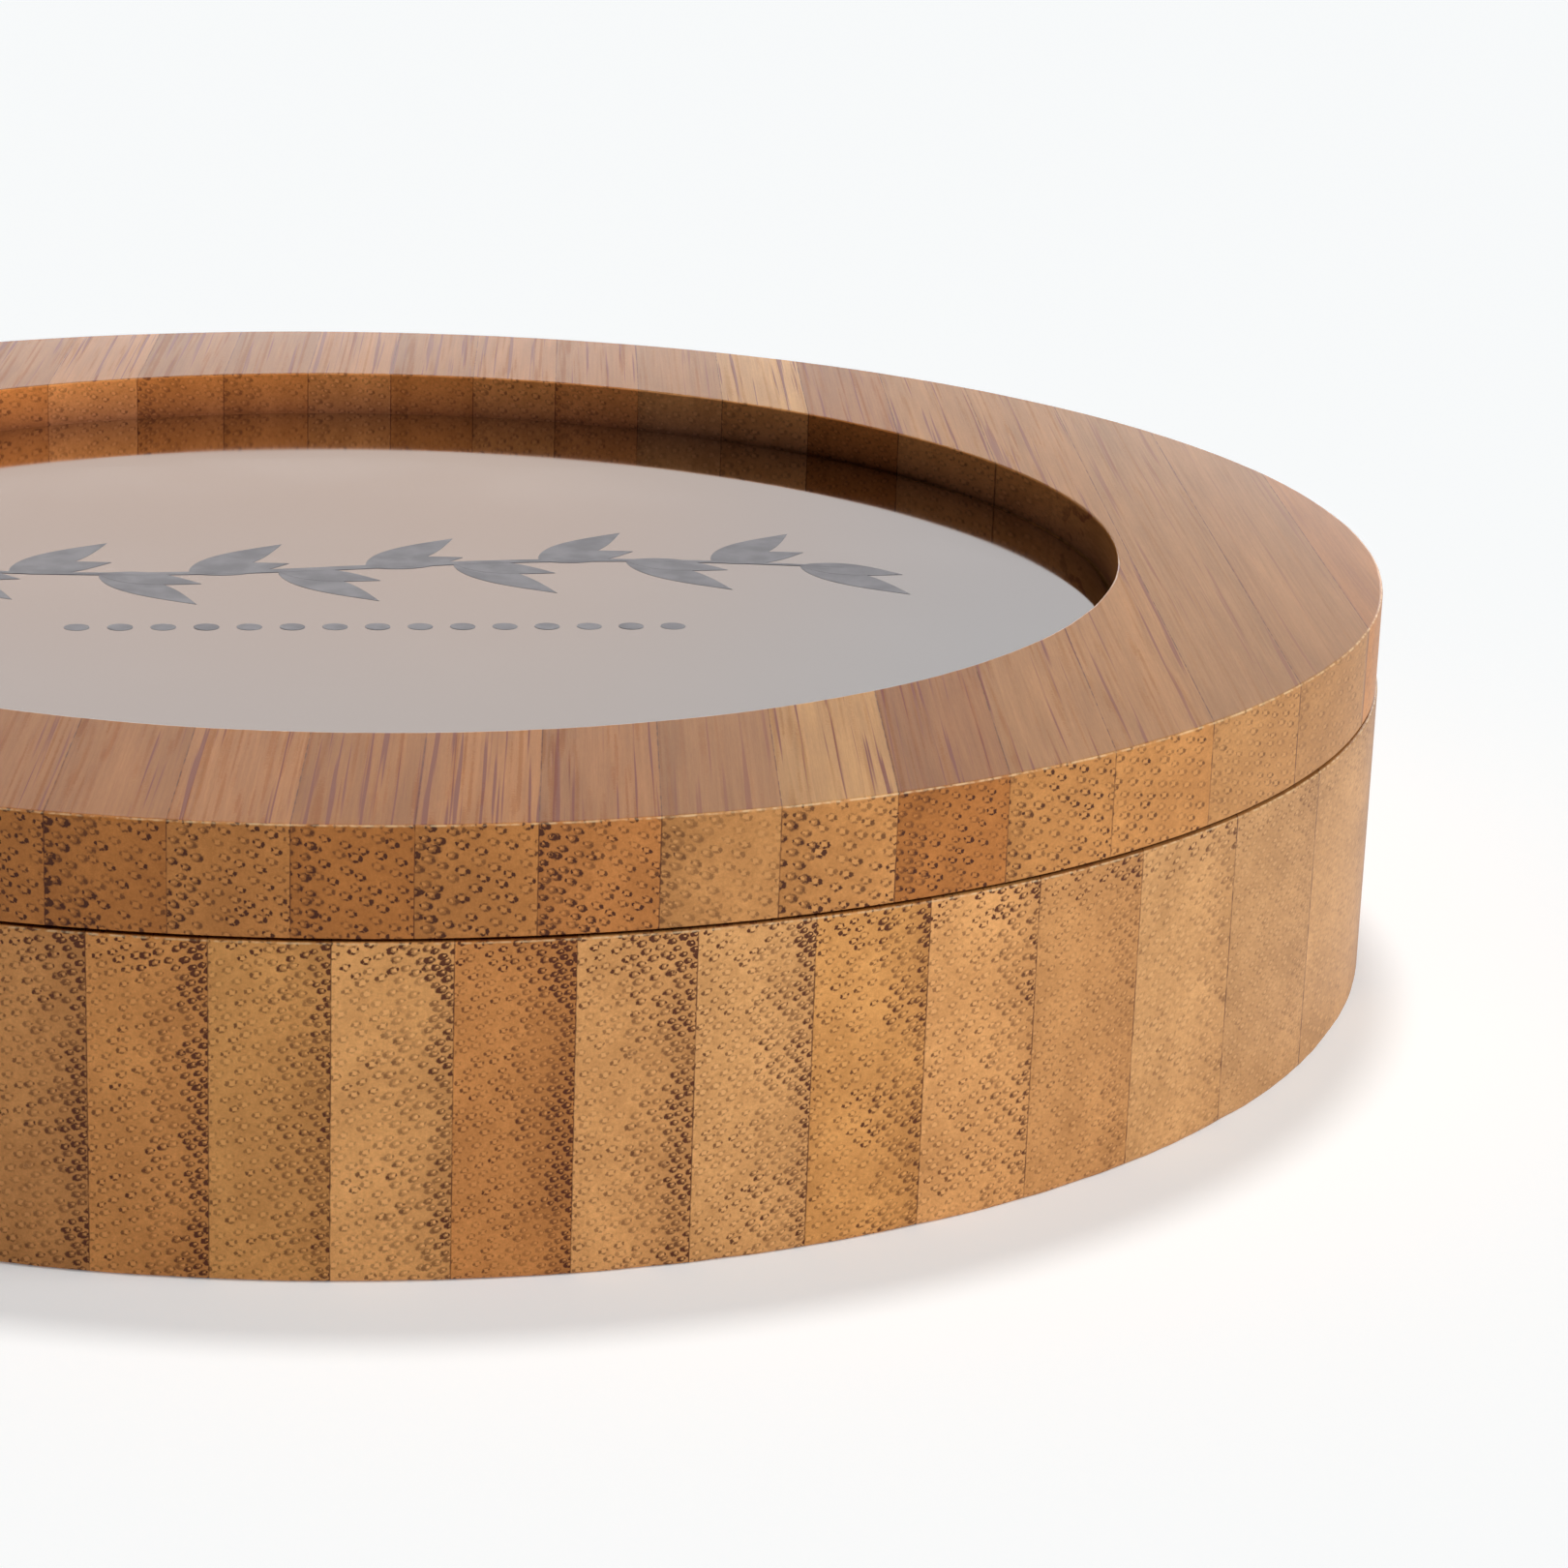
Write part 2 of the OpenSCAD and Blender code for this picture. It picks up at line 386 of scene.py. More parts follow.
GRAIN_NUMBERS = ("Low face", "Width", "Dense side", "Grain size", "Grain shift", "Seed", "Contrast",
                 "Dark rim", "Edge radius", "Edge height", "Wall radius", "Wall foot", "Wall top")
GRAIN_COLOURS = ("Tone", "End tint", "Face tint", "Dark")
GRAIN_RESULTS = ("Height", "Roughness", "Polish", "Specular")


def new_grain_tree():
    """The group with its sockets."""
    tree = bpy.data.node_groups.new("bamboo_grain", "ShaderNodeTree")
    sockets = [(name, "INPUT", "Float") for name in GRAIN_NUMBERS]
    sockets += [(name, "INPUT", "Color") for name in GRAIN_COLOURS]
    sockets += [("Color", "OUTPUT", "Color")]
    sockets += [(name, "OUTPUT", "Float") for name in GRAIN_RESULTS]
    for name, side, kind in sockets:
        tree.interface.new_socket(name, in_out=side, socket_type=f"NodeSocket{kind}")
    return tree


def bamboo_group():
    """The grain of one strip: a solid pattern of fibre bundles that run along Y."""
    tree = new_grain_tree()
    given = add(tree, "NodeGroupInput").outputs
    place = add(tree, "ShaderNodeTexCoord").outputs["Object"]
    place = vector_calc(tree, "MULTIPLY", place, (1 / MM, 1 / MM, 1 / MM))
    x, y, z = add(tree, "ShaderNodeSeparateXYZ", {0: place}).outputs
    radius = vector_calc(tree, "LENGTH", vector_calc(tree, "MULTIPLY", place, (1, 1, 0)))
    normal = add(tree, "ShaderNodeSeparateXYZ", {0: add(tree, "ShaderNodeNewGeometry").outputs["Normal"]})
    end_grain = ramp(tree, calc(tree, "ABSOLUTE", normal.outputs[1]), *END_GRAIN)
    seeded = vector(tree, given["Seed"], 0.0, 0.0)

    # Bundles wander a little as they run along Y
    wander = vector(tree, calc(tree, "MULTIPLY", x, WANDER_STRETCH[0]),
                    calc(tree, "MULTIPLY", y, WANDER_STRETCH[1]), given["Seed"])
    cut_x = wandering(tree, x, wander, WANDER_X)
    cut_z = wandering(tree, z, vector_calc(tree, "ADD", wander, WANDER_APART), WANDER_Z)

    # The share of the strip's width from its sparse face, whichever side that is
    middle = calc(tree, "MULTIPLY", given["Width"], 0.5)
    off_middle = calc(tree, "SUBTRACT", calc(tree, "SUBTRACT", cut_x, given["Low face"]), middle)
    across = calc(tree, "MULTIPLY_ADD", off_middle, given["Dense side"], middle)
    share = calc(tree, "ADD", calc(tree, "DIVIDE", across, given["Width"]), given["Grain shift"])

    wall = recess_wall(tree, given, radius, z)
    dark, pale = bundles(tree, given, place, share, cut_z)
    strength = mark_strength(tree, given, place, share, z, wall, seeded)
    marks = calc(tree, "MULTIPLY", dark, strength, clamp=True)
    fine = grain_noise(tree, place, FINE)
    line = grain_noise(tree, vector(tree, cut_x, y, z), LINE, seeded)
    light = wood_light(tree, place, share, fine, seeded)
    colour = marked_wood(tree, given, light, end_grain, marks, pale, line)

    # The glue line on each face of the strip, the pale outer edge (partly wear, partly a painted
    # highlight), and the painted shade and light on the recess's wall
    edge = calc(tree, "SUBTRACT", x, given["Low face"])
    edge = calc(tree, "MINIMUM", edge, calc(tree, "SUBTRACT", given["Width"], edge))
    glue = calc(tree, "MULTIPLY", ramp(tree, edge, *GLUE_LINE),
                ramp(tree, rough_noise(tree, place, scale=GLUE_SCALE), *GLUE_BREAKS))
    colour = blend(tree, glue, colour, GLUE_COLOUR)
    # The outer edge painted pale: partly wear, partly a painted highlight
    colour = blend(tree, pale_edge_wear_and_highlight(tree, given, place, radius, z), colour, WORN_AND_HIGHLIGHT_COLOUR)
    # Painted shade and light on the recess's wall
    wall_shaded = blend(tree, 1.0, colour, wall_painted_shading(tree, given, z), mode="MULTIPLY")
    colour = blend(tree, wall, colour, wall_shaded)

    height = calc(tree, "MULTIPLY_ADD", marks, -1.0, calc(tree, "MULTIPLY", pale, GLINT_HEIGHT))
    height = calc(tree, "MULTIPLY", height, by_grain(tree, end_grain, MARK_RELIEF))
    height = calc(tree, "ADD", height, calc(tree, "MULTIPLY", fine, FINE_HEIGHT))
    height = calc(tree, "SUBTRACT", height, calc(tree, "MULTIPLY", glue, GLUE_DEPTH))
    clean = calc(tree, "SUBTRACT", 1.0, wall)  # a recess's wall is dull
    add(tree, "NodeGroupOutput", {
        "Color": colour, "Height": height, "Roughness": ramp(tree, marks, 0.0, 1.0, *GLOSS),
        "Polish": calc(tree, "MULTIPLY", by_grain(tree, end_grain, POLISH), clean),
        "Specular": calc(tree, "MULTIPLY", by_grain(tree, end_grain, SPECULAR), clean)})
    return tree


def new_material(name):
    """(material, its empty node tree)."""
    mat = bpy.data.materials.new(name)
    mat.use_nodes = True
    mat.node_tree.nodes.clear()
    return mat, mat.node_tree


def bamboo(name, grain, low_face, width, strip):
    """The material of one strip. low_face and width are in mm."""
    mat, tree = new_material(name)
    cut = add(tree, "ShaderNodeGroup", node_tree=grain)
    for socket, value in {
        "Low face": low_face, "Width": width, "Dense side": strip["dense"], "Grain size": strip["size"],
        "Grain shift": strip["shift"], "Seed": strip["seed"], "Contrast": strip["contrast"],
        "Dark rim": strip["rim"], "Tone": strip["tone"], "End tint": strip["end tint"],
        "Face tint": strip["face tint"], "Dark": strip["dark"],
        "Edge radius": strip["edge"][0], "Edge height": strip["edge"][1],
        "Wall radius": strip["wall"][0], "Wall foot": strip["wall"][1], "Wall top": strip["wall"][2],
    }.items():
        cut.inputs[socket].default_value = value
    bump = add(tree, "ShaderNodeBump", {
        "Strength": BUMP_STRENGTH, "Distance": MARK_DEPTH * MM, "Height": cut.outputs["Height"]})
    shader = add(tree, "ShaderNodeBsdfPrincipled", {
        "Base Color": cut.outputs["Color"], "Roughness": cut.outputs["Roughness"],
        "Normal": bump.outputs[0], "Specular IOR Level": cut.outputs["Specular"],
        "Coat Weight": cut.outputs["Polish"], "Coat Roughness": COAT_ROUGHNESS})
    add(tree, "ShaderNodeOutputMaterial", {"Surface": shader.outputs[0]})
    return mat


# ---------------------------------------------------------------- other materials

SMEAR_SCALE, SMEAR_ROUGHNESS = 70.0, (0.35, 0.7, 0.04, 0.07)
SHADE_SCALE, SHADE_SPREAD = 18.0, (0.35, 0.65)
MIRROR_WARM, MIRROR_COOL = (0.55, 0.52, 0.505, 1), (0.525, 0.515, 0.505, 1)


def mirror_material():
    """Dim polished metal with faint smears."""
    mat, tree = new_material("mirror_silver")
    place = add(tree, "ShaderNodeTexCoord").outputs["Object"]
    smear = rough_noise(tree, place, scale=SMEAR_SCALE, detail=4.0)
    shade = rough_noise(tree, place, scale=SHADE_SCALE, detail=1.0)
    colour = blend(tree, ramp(tree, shade, *SHADE_SPREAD), MIRROR_WARM, MIRROR_COOL)
    shader = add(tree, "ShaderNodeBsdfPrincipled", {
        "Base Color": colour, "Metallic": 1.0, "Roughness": ramp(tree, smear, *SMEAR_ROUGHNESS)})
    add(tree, "ShaderNodeOutputMaterial", {"Surface": shader.outputs[0]})
    return mat


SPECKLE_DEPTH = 0.02  # mm
SPECKLE_BUMP = 0.3
SPECKLE_SPREAD = (0.35, 0.65)
SPECKLE_ROUGH_FROM, SPECKLE_ROUGH_TO = 0.3, 0.7
SPECKLE_ROUGHNESS = 0.1  # how much rougher the speckles are


def plain_material(name, colour, dark, scale, roughness):
    """A moulded or printed surface: two close shades, speckled."""
    mat, tree = new_material(name)
    place = add(tree, "ShaderNodeTexCoord").outputs["Object"]
    speckle = rough_noise(tree, place, scale=scale, detail=3.0)
    bump = add(tree, "ShaderNodeBump", {
        "Strength": SPECKLE_BUMP, "Distance": SPECKLE_DEPTH * MM, "Height": speckle})
    rough = ramp(tree, speckle, SPECKLE_ROUGH_FROM, SPECKLE_ROUGH_TO, roughness,
                 roughness + SPECKLE_ROUGHNESS)
    shader = add(tree, "ShaderNodeBsdfPrincipled", {
        "Base Color": blend(tree, ramp(tree, speckle, *SPECKLE_SPREAD), colour, dark),
        "Roughness": rough, "Normal": bump.outputs[0]})
    add(tree, "ShaderNodeOutputMaterial", {"Surface": shader.outputs[0]})
    return mat


# ---------------------------------------------------------------- turned shapes

RUB_COARSE, RUB_FINE = 9, 40  # how quickly an edge's wear changes round the case
RUB_FINE_SHARE = 0.6
FLAT_DEGREES = 0.05  # faces this level are one
SMOOTH_DEGREES = 32  # edges this blunt are shaded smooth
WELD = 1e-5  # mm


def eased(corners, factor):
    """The outline through corners (r, z, ease), each eased over factor times its ease."""
    points = []
    last = len(corners) - 1
    for i, (r, z, ease) in enumerate(corners):
        corner = Vector((r, z))
        if not ease or i in (0, last):
            points.append(corner)
            continue
        before, after = (Vector(corners[j][:2]) - corner for j in (i - 1, i + 1))
        start = corner + before.normalized() * ease * factor
        end = corner + after.normalized() * ease * factor
        for step in range(EASE_STEPS + 1):
            t = step / EASE_STEPS
            points.append(start * (1 - t) ** 2 + corner * 2 * t * (1 - t) + end * t * t)
    return points


def turn(corners, wear, seed):
    """A closed solid of revolution in a new bmesh, in mm, with its eased edges worn unevenly."""
    bm = bmesh.new()
    rings = []
    for step in range(TURN_STEPS):
        angle = 2 * math.pi * step / TURN_STEPS
        heading = Vector((math.cos(angle), math.sin(angle), 0))
        offset = Vector((0, 0, seed))
        rub = noise.noise(heading * RUB_COARSE + offset)
        rub += RUB_FINE_SHARE * noise.noise(heading * RUB_FINE + offset)
        outline = eased(corners, 1 + wear * rub)
        rings.append([bm.verts.new(heading * p.x + Vector((0, 0, p.y))) for p in outline])
    for step, ring in enumerate(rings):
        following = rings[(step + 1) % TURN_STEPS]
        for i in range(len(ring) - 1):
            bm.faces.new((ring[i], following[i], following[i + 1], ring[i + 1]))
    bmesh.ops.remove_doubles(bm, verts=bm.verts, dist=WELD)
    bmesh.ops.recalc_face_normals(bm, faces=bm.faces)
    return bm


def cut_away(bm, x, side):
    """Cuts the solid at the plane X = x, keeps the part on that side, and closes it."""
    everything = bm.verts[:] + bm.edges[:] + bm.faces[:]
    made = bmesh.ops.bisect_plane(
        bm, geom=everything, dist=WELD, plane_co=(x, 0, 0), plane_no=(-side, 0, 0), clear_outer=True)
    rim = [g for g in made["geom_cut"] if isinstance(g, bmesh.types.BMEdge)]
    bmesh.ops.holes_fill(bm, edges=rim, sides=0)


def finished(bm, name, mat):
    """The bmesh as an object in metres, its flats merged and its eased edges smooth."""
    bmesh.ops.dissolve_limit(bm, angle_limit=math.radians(FLAT_DEGREES), verts=bm.verts, edges=bm.edges)
    bmesh.ops.recalc_face_normals(bm, faces=bm.faces)
    bmesh.ops.scale(bm, vec=(MM, MM, MM), verts=bm.verts)
    mesh = bpy.data.meshes.new(name)
    bm.to_mesh(mesh)
    bm.free()
    mesh.polygons.foreach_set("use_smooth", [True] * len(mesh.polygons))
    mesh.set_sharp_from_angle(angle=math.radians(SMOOTH_DEGREES))
    mesh.materials.append(mat)
    piece = bpy.data.objects.new(name, mesh)
    bpy.context.scene.collection.objects.link(piece)
    evened = piece.modifiers.new("flat_faces", "WEIGHTED_NORMAL")
    evened.keep_sharp = True
    return piece


def span(node):
    """(lowest, highest) corner of a CAD node in mm."""
    low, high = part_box(node)
    return low / MM, high / MM


lid_low, lid_high = span("lid_strip_11")
mirror_low, mirror_high = span("mirror")
base_r = span(f"base_strip_{STRIPS}")[1].x
lid_r = span(f"lid_strip_{STRIPS}")[1].x
rim_z, top_z, spigot_z = span("base_strip_11")[1].z, lid_high.z, lid_low.z
seat_z = span("mirror_adhesive")[0].z
spigot_r = POCKET_R - SPIGOT_GAP
opening_r = mirror_high.x + MIRROR_GAP

# Half outlines from the axis to the axis: (radius, height, ease) in mm
BASE_CORNERS = (
    (0, 0, 0), (base_r, 0, 0.35), (base_r, rim_z, 0.16), (POCKET_R, rim_z, 0.5),
    (POCKET_R, POCKET_FLOOR, 0.3), (0, POCKET_FLOOR, 0))
LID_CORNERS = (
    (0, spigot_z, 0), (spigot_r, spigot_z, 0.4), (spigot_r, rim_z, 0), (POCKET_R + SEAM_LAND, rim_z, 0),
    (POCKET_R + SEAM_LAND, rim_z + SEAM_H, 0), (lid_r, rim_z + SEAM_H, 0.10), (lid_r, top_z, 0.16),
    (opening_r, top_z, 0.14), (opening_r, seat_z, 0), (0, seat_z, 0))
MIRROR_CORNERS = (
    (0, mirror_low.z, 0), (mirror_high.x, mirror_low.z, 0.15), (mirror_high.x, mirror_high.z, 0.3),
    (0, mirror_high.z, 0))

# ---------------------------------------------------------------- strips

# The wood of a strip, under the tint of its board's ends or faces
TONES = {"honey": srgb(201, 138, 78), "tan": srgb(208, 149, 88), "pale": srgb(215, 155, 94),
         "brown": srgb(189, 124, 65), "orange": srgb(211, 149, 83), "grey": srgb(208, 152, 95),
         "dull": srgb(189, 140, 89), "straw": srgb(198, 141, 84), "wheat": srgb(201, 149, 94),
         "amber": srgb(211, 143, 78), "cream": srgb(225, 163, 98), "russet": srgb(199, 132, 71),
         "umber": srgb(206, 139, 79), "blond": srgb(219, 161, 100)}
BASE_LOOK = (
    "honey pale honey brown honey pale brown honey honey amber "
    "orange cream russet pale blond orange pale straw wheat dull dull dull").split()
LID_LOOK = (
    "honey pale honey brown pale honey brown honey brown brown "
    "honey brown honey umber grey pale brown tan tan wheat dull honey").split()
EDGE_CORNER = {"base": 2, "lid": 6}  # the corner whose outer edge is painted pale, partly as wear and partly as a painted highlight
# dense is the side of a strip's dense face, size scales the bundles, and shift in strip widths
# moves the sparse bundles towards the dense face. wall is a recess's radius, foot and top
BOARDS = {
    "base": {"corners": BASE_CORNERS, "looks": BASE_LOOK, "dense": 1.0, "seed": 3.1, "rim": rim_z,
             "dark": srgb(80, 38, 24), "contrast": 1.20, "size": 0.92, "shift": -0.10,
             "end tint": (1.0, 1.0, 1.02, 1), "face tint": (0.65, 0.59, 0.52), "wall": (0.0, 0.0, 1.0)},
    "lid": {"corners": LID_CORNERS, "looks": LID_LOOK, "dense": -1.0, "seed": 47.9, "rim": 2 * top_z,
            "dark": srgb(70, 35, 25), "contrast": 1.95, "size": 1.06, "shift": -0.42,
            "end tint": (0.865, 0.792, 0.695, 1), "face tint": (0.65, 0.59, 0.52),
            "wall": (opening_r, mirror_high.z, top_z)},
}
FACE_SHADE = {  # where a strip's faces are not as its ends are
    "grey": (0.80, 0.74, 0.68), "pale": (1.08, 1.22, 1.26),
    "brown": (0.90, 0.94, 0.91), "tan": (0.90, 0.91, 0.91), "umber": (0.84, 0.88, 0.91),
    "wheat": (0.93, 0.90, 0.84), "dull": (1.04, 0.98, 0.88)}
SPARSE_FROM = 15  # the strips from this one on have fewer and fewer of the dense face's bundles
SPARSE_STEP = 0.05
FAINT_FROM = 17  # the strips from this one on have fainter and fainter marks
FAINT_STEP = 0.14
GREY_CONTRAST = 0.55
CONTRAST_SPREAD = (0.85, 1.15)
SIZE_SPREAD = (0.85, 1.10)
SHIFT_SPREAD = (0.2, 1.0)
SEED_STEP = 5.37
EDGE_WEAR = 0.35


def strip_look(body, board, number, chance):
    """What sets a strip's material apart. It takes three draws from chance."""
    look = board["looks"][number - 1]
    contrast = board["contrast"] * chance.uniform(*CONTRAST_SPREAD)
    contrast *= GREY_CONTRAST if look == "grey" else 1.0
    contrast *= 1 - FAINT_STEP * max(0, number - FAINT_FROM + 1)
    size = board["size"] * chance.uniform(*SIZE_SPREAD)
    shift = board["shift"] * chance.uniform(*SHIFT_SPREAD)
    shift -= SPARSE_STEP * max(0, number - SPARSE_FROM + 1)
    shade = FACE_SHADE.get(look, (1, 1, 1))
    return {
        "dense": board["dense"], "rim": board["rim"], "dark": board["dark"],
        "seed": board["seed"] + SEED_STEP * number, "contrast": contrast, "size": size, "shift": shift,
        "tone": TONES[look], "end tint": board["end tint"],
        "face tint": [a * b for a, b in zip(board["face tint"], shade)] + [1],
        "edge": board["corners"][EDGE_CORNER[body]], "wall": board["wall"],
    }


def build_board(body, board, grain):
    """One board of the case: a turned solid cut into its glued strips."""
    whole = turn(board["corners"], wear=EDGE_WEAR, seed=board["seed"])
    low, high = span(f"{body}_strip_11")
    width = high.x - low.x
    chance = random.Random(board["seed"])
    for number in range(1, STRIPS + 1):
        node = f"{body}_strip_{number:02d}"
        low, high = span(node)
        low_face = low.x if number > 1 else high.x - width
        strip = strip_look(body, board, number, chance)
        bm = whole.copy()
        if number > 1:
            cut_away(bm, low.x, 1)
        if number < STRIPS:
            cut_away(bm, high.x, -1)
        name = f"{body}_bamboo_{number:02d}"
        piece = finished(bm, name, bamboo(name, grain, low_face, width, strip))
        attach(piece, body)
        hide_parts(node)
    whole.free()


grain = bamboo_group()
for body, board in BOARDS.items():
    build_board(body, board, grain)

glass = finished(turn(MIRROR_CORNERS, wear=0.0, seed=0.0), "mirror_glass", mirror_material())
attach(glass, "lid")
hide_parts("mirror")
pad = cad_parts["mirror_adhesive"]
pad.data.materials.clear()
pad.data.materials.append(plain_material(
    "foam_tape", srgb(228, 226, 218), srgb(212, 209, 200), scale=900.0, roughness=0.8))

# ---------------------------------------------------------------- ornament on the mirror

PRINT_THICK = 0.02
PRINT_TURN = math.radians(5.5)
SPRIG_LENGTH = 48.0
SPRIG_RISE = 1.4  # height of the stem's wave
STEM_WIDTH = 0.7
LEAVES = 11
LEAF_LENGTH = 7.6
LEAF_WIDTH = 2.3
LEAF_BULGE = 0.8  # below 1, a leaf is widest near its foot
LEAF_PAIR = ((52, 1.0), (22, 0.7))  # degrees from the stem, and share of the length
STEM_TAPER = 0.6
BEADS = 15
BEAD_R = 0.6
BEAD_PITCH = 2.0
BEAD_ROW_Y = -11.6
STEM_STEPS, LEAF_STEPS, BEAD_STEPS = 60, 14, 20
STEM_LEVEL, LEAF_LEVELS = 1.0, (0.75, 0.5)  # of PRINT_THICK: no two outlines that cross are level
INK, INK_DARK = srgb(108, 107, 113), srgb(101, 100, 106)


def stem_y(x):
    return SPRIG_RISE * math.sin(2 * math.pi * x / SPRIG_LENGTH)


def stem_outline():
    steps = STEM_STEPS
    xs = [SPRIG_LENGTH * (i / steps - 0.5) for i in range(steps + 1)]
    widths = [STEM_WIDTH / 2 * (1 - STEM_TAPER * abs(2 * x / SPRIG_LENGTH)) for x in xs]
    lower = [Vector((x, stem_y(x) - w)) for x, w in zip(xs, widths)]
    return lower + [Vector((x, stem_y(x) + w)) for x, w in zip(reversed(xs), reversed(widths))]


def leaf_outline(x, heading, length):
    """A pointed leaf from the stem at x, its widest part nearer the stem."""
    steps = LEAF_STEPS
    along = Vector((math.cos(heading), math.sin(heading)))
    out = Vector((-along.y, along.x))
    half = [(i / steps, math.sin(math.pi * (i / steps) ** LEAF_BULGE) * LEAF_WIDTH / 2)
            for i in range(steps + 1)]
    foot = Vector((x, stem_y(x)))
    edge = [foot + along * length * t - out * w for t, w in half]
    return edge + [foot + along * length * t + out * w for t, w in reversed(half[1:-1])]


def bead_outline(x):
    angles = [2 * math.pi * i / BEAD_STEPS for i in range(BEAD_STEPS)]
    return [Vector((x + BEAD_R * math.cos(a), BEAD_ROW_Y + BEAD_R * math.sin(a))) for a in angles]


def build_ornament():
    """A leafy sprig over a row of beads, printed on the mirror where the lettering was."""
    outlines = [stem_outline()]
    for i in range(LEAVES):
        x = SPRIG_LENGTH * ((i + 0.5) / LEAVES - 0.5)
        side = 1 if i % 2 else -1
        for degrees, share in LEAF_PAIR:
            outlines.append(leaf_outline(x, side * math.radians(degrees), LEAF_LENGTH * share))
    outlines += [bead_outline(BEAD_PITCH * (i - (BEADS - 1) / 2)) for i in range(BEADS)]
    turned = Matrix.Rotation(PRINT_TURN, 2)
    bm = bmesh.new()
    for number, outline in enumerate(outlines):
        points = [turned @ p for p in outline]
        level = LEAF_LEVELS[number % 2] if number else STEM_LEVEL
        top = mirror_high.z + PRINT_THICK * level
        low = [bm.verts.new((p.x, p.y, mirror_high.z)) for p in points]
        high = [bm.verts.new((p.x, p.y, top)) for p in points]
        bm.faces.new(list(reversed(low)))
        bm.faces.new(high)
        for i in range(len(points)):
            j = (i + 1) % len(points)
            bm.faces.new((low[i], low[j], high[j], high[i]))
    ink = plain_material("print_ink", INK, INK_DARK, scale=600.0, roughness=0.5)
    printed = finished(bm, "mirror_print", ink)
    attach(printed, "lid")


build_ornament()

# ---------------------------------------------------------------- camera and studio

CAMERA_TURN = math.radians(2.75)  # the camera stands a little to the right of the fibres' line
CAMERA_YAW = math.radians(3.11)
CAMERA_PITCH = math.radians(16.765)
CAMERA_ROLL = math.radians(2.074)
CAMERA_BACK = 4.1391  # distance from the case's axis, in lid radii
CAMERA_UP = 0.9861  # height over the lid's top, in lid radii
LENS_MM = 97.96
SENSOR_MM = 36.0
CLIP_START_M = 0.01


def place_camera():
    data = bpy.data.cameras.new("camera")
    data.lens = LENS_MM
    data.sensor_width = SENSOR_MM
    data.clip_start = CLIP_START_M
    camera = bpy.data.objects.new("camera", data)
    bpy.context.scene.collection.objects.link(camera)
    bpy.context.scene.camera = camera
    back = CAMERA_BACK * lid_r * MM
    position = Vector((back * math.sin(CAMERA_TURN), -back * math.cos(CAMERA_TURN),
                       (top_z + CAMERA_UP * lid_r) * MM))
    aim = Vector((math.sin(CAMERA_YAW) * math.cos(CAMERA_PITCH),
                  math.cos(CAMERA_YAW) * math.cos(CAMERA_PITCH), -math.sin(CAMERA_PITCH)))
    side = aim.cross(Vector((0, 0, 1))).normalized()
    up = side.cross(aim)
    side, up = (side * math.cos(CAMERA_ROLL) + up * math.sin(CAMERA_ROLL),
                up * math.cos(CAMERA_ROLL) - side * math.sin(CAMERA_ROLL))
    turned = Matrix((side, up, -aim)).transposed().to_4x4()
    camera.matrix_world = Matrix.Translation(position) @ turned


# The world by the direction of a ray: ramps, as in the bamboo, of the direction's x, y or z
AMBIENT = (-0.5, 0.8, 0.015, 0.12)  # y: light on the case, from front to back
ROOM_ACROSS = (-0.03, 0.12)  # x: from the beige left to the grey right
ROOM_LEFT, ROOM_RIGHT = (0.79, 0.635, 0.55, 1), (0.64, 0.622, 0.624, 1)
ROOM_UP = (0.20, 0.30, 0.0, 0.55)  # z
ROOM_HIGH = (0.77, 0.775, 0.80, 1)
ROOM_BEHIND = (0.40, 0.385, 0.375, 1)  # behind the camera
BEHIND_TO_ROOM = (-0.2, 0.4)  # y
WINDOW_LIGHT = (-0.09, 0.08, 6.4, 4.4)  # x: a low bright band opposite the camera
WINDOW_TOP = (0.195, 0.165)  # z
WINDOW_SIDES = (0.75, 0.95)  # y
WINDOW_SLANT_FROM, WINDOW_SLANT = 0.09, 0.45  # its top climbs to the right from this x
FLOOR_TONE = (0.875, 0.90, 0.912, 1)
GLOW_TONE = (0.88, 0.94, 1.0, 1)
FLOOR_GLOW = 0.176  # the floor is a sheet lit a little from below


def sun(name, azimuth, elevation, strength, angle, colour):
    """A distant lamp. Azimuth 0 is +X and 90 is +Y, where its light comes from."""
    data = bpy.data.lights.new(name, "SUN")
    data.energy = strength
    data.angle = math.radians(angle)
    data.color = colour
    lamp = bpy.data.objects.new(name, data)
    bpy.context.scene.collection.objects.link(lamp)
    azimuth, elevation = math.radians(azimuth), math.radians(elevation)
    towards = Vector((math.cos(azimuth) * math.cos(elevation), math.sin(azimuth) * math.cos(elevation),
                      math.sin(elevation)))
    lamp.rotation_euler = towards.to_track_quat("Z", "Y").to_euler()


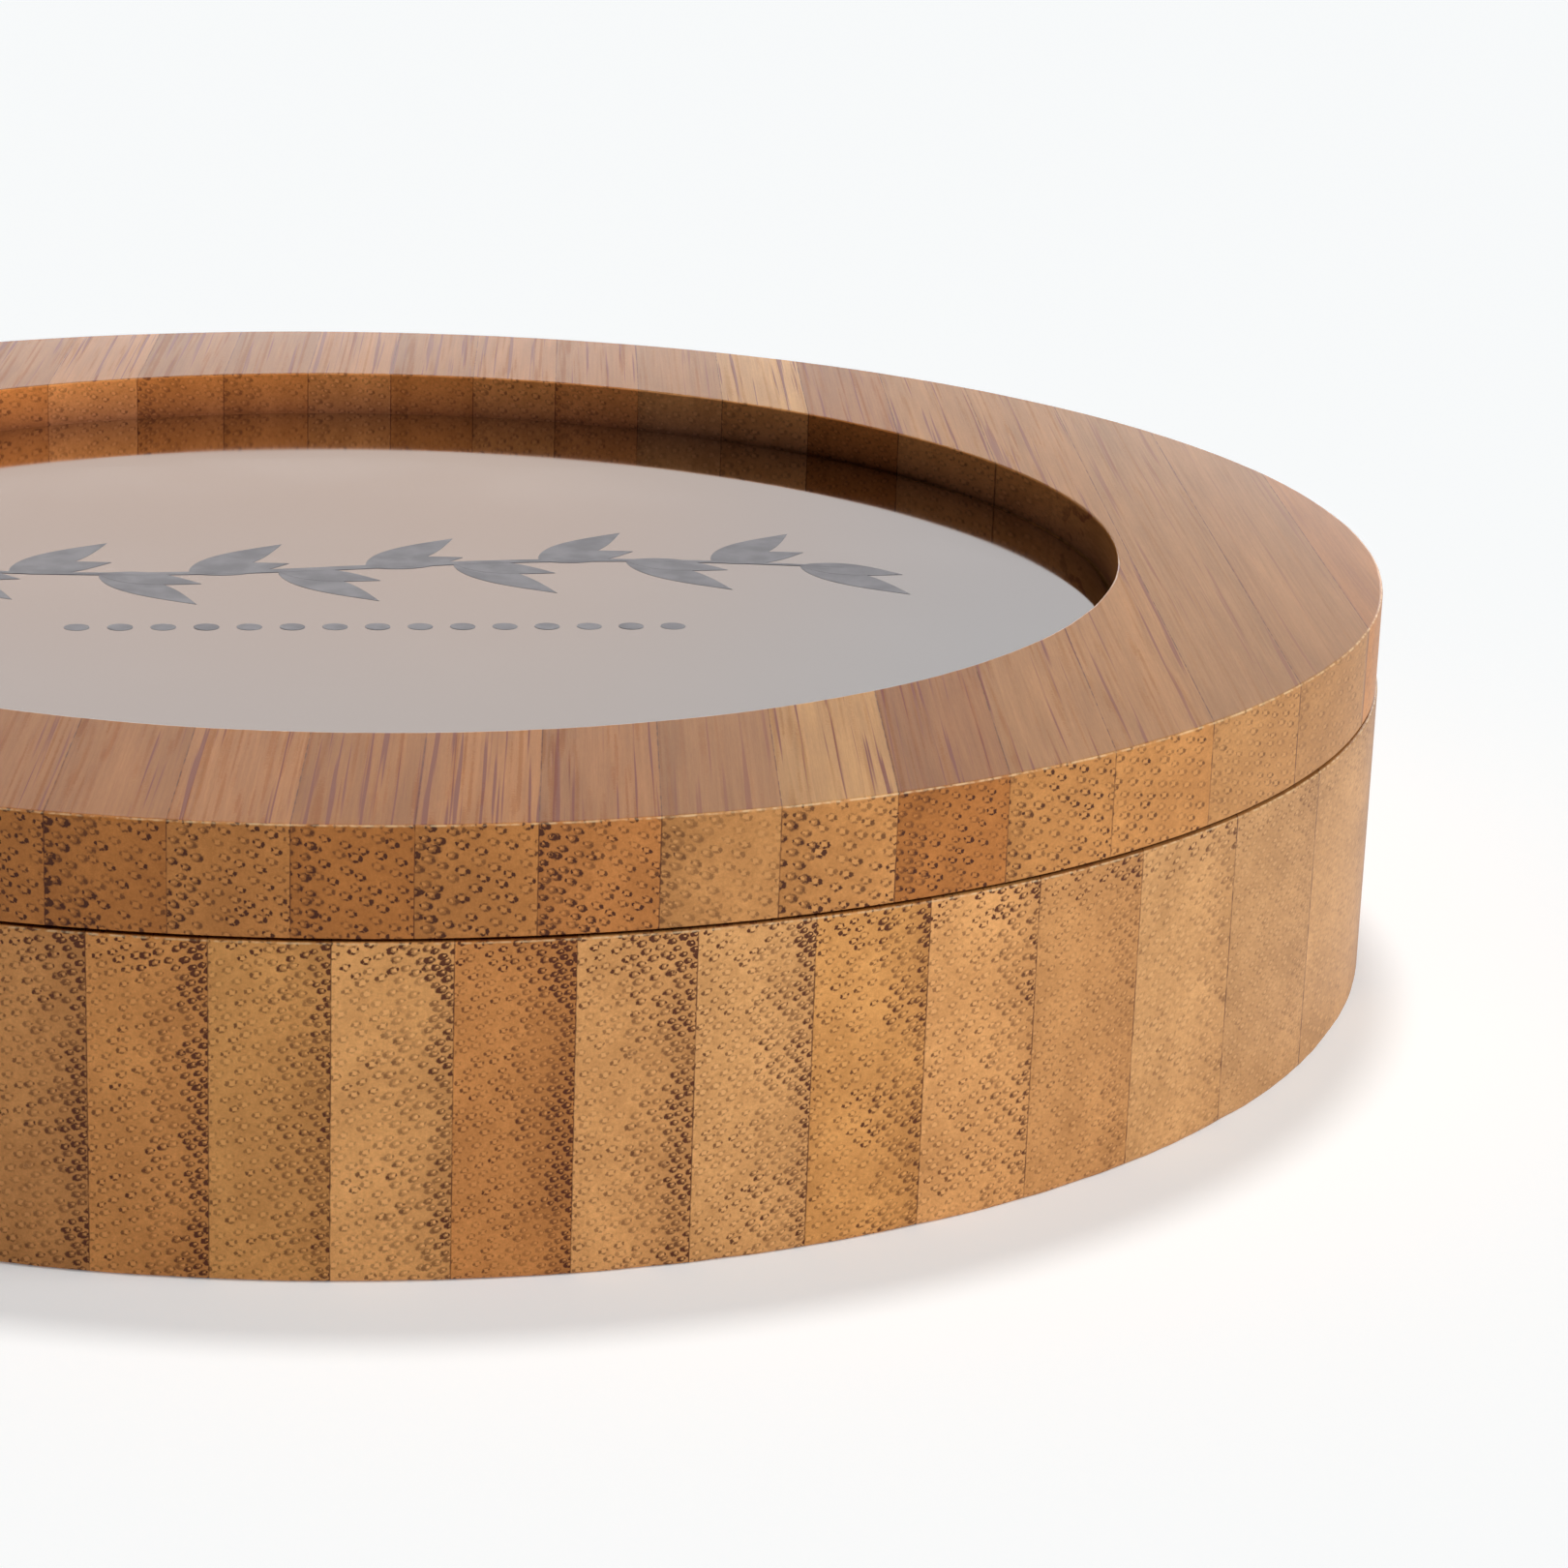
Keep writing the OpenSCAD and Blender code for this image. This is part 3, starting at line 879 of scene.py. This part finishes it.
def studio_world():
    """White where the camera looks past the floor, a beige to grey room where it is
    mirrored, and almost dark where it would light the case."""
    world = bpy.data.worlds.new("studio")
    bpy.context.scene.world = world
    world.use_nodes = True
    tree = world.node_tree
    tree.nodes.clear()
    heading = add(tree, "ShaderNodeTexCoord").outputs["Generated"]
    way = add(tree, "ShaderNodeSeparateXYZ", {0: heading}).outputs
    room = blend(tree, ramp(tree, way[0], *ROOM_ACROSS), ROOM_LEFT, ROOM_RIGHT)
    room = blend(tree, ramp(tree, way[2], *ROOM_UP), room, ROOM_HIGH)
    bright = ramp(tree, way[0], *WINDOW_LIGHT)
    slant = calc(tree, "MAXIMUM", calc(tree, "SUBTRACT", way[0], WINDOW_SLANT_FROM), 0.0)
    slant = calc(tree, "MULTIPLY", slant, WINDOW_SLANT)
    window = calc(tree, "MULTIPLY", ramp(tree, calc(tree, "SUBTRACT", way[2], slant), *WINDOW_TOP),
                  ramp(tree, way[1], *WINDOW_SIDES))
    room = blend(tree, window, room, vector(tree, bright, bright, bright))
    room = blend(tree, ramp(tree, way[1], *BEHIND_TO_ROOM), ROOM_BEHIND, room)
    ray = add(tree, "ShaderNodeLightPath").outputs
    first = calc(tree, "LESS_THAN", ray["Diffuse Depth"], 0.5)  # not yet scattered
    mirrored = calc(tree, "MULTIPLY", ray["Is Glossy Ray"], first)
    ambient = ramp(tree, way[1], *AMBIENT)
    colour = blend(tree, mirrored, vector(tree, ambient, ambient, ambient), room)
    colour = blend(tree, ray["Is Camera Ray"], colour, (1.0, 1.0, 1.0, 1))
    sky = add(tree, "ShaderNodeBackground", {"Color": colour, "Strength": 1.0})
    add(tree, "ShaderNodeOutputWorld", {"Surface": sky.outputs[0]})
    world.cycles.sampling_method = "NONE"  # it is only found by rays, so each kind sees its own


def studio_floor():
    """A plain pale floor that is seen from above only, so the underside can be looked at."""
    bm = bmesh.new()
    bmesh.ops.create_grid(bm, x_segments=1, y_segments=1, size=FLOOR_SIZE / 2)
    mesh = bpy.data.meshes.new("floor")
    bm.to_mesh(mesh)
    bm.free()
    mat, tree = new_material("floor_paper")
    paper = add(tree, "ShaderNodeBsdfPrincipled", {
        "Base Color": FLOOR_TONE, "Roughness": 1.0, "Specular IOR Level": 0.0,
        "Emission Color": GLOW_TONE, "Emission Strength": FLOOR_GLOW})
    clear = add(tree, "ShaderNodeBsdfTransparent")
    behind = add(tree, "ShaderNodeNewGeometry").outputs["Backfacing"]
    mixed = add(tree, "ShaderNodeMixShader", {0: behind, 1: paper.outputs[0], 2: clear.outputs[0]})
    add(tree, "ShaderNodeOutputMaterial", {"Surface": mixed.outputs[0]})
    mesh.materials.append(mat)
    floor = bpy.data.objects.new("floor", mesh)
    bpy.context.scene.collection.objects.link(floor)


place_camera()
studio_world()
studio_floor()
sun("key", azimuth=-20, elevation=38, strength=2.4, angle=40, colour=(1.0, 0.99, 0.98))
sun("top", azimuth=96, elevation=72, strength=1.2, angle=9, colour=(1.0, 0.965, 0.93))
bpy.context.scene.view_settings.view_transform = "Standard"
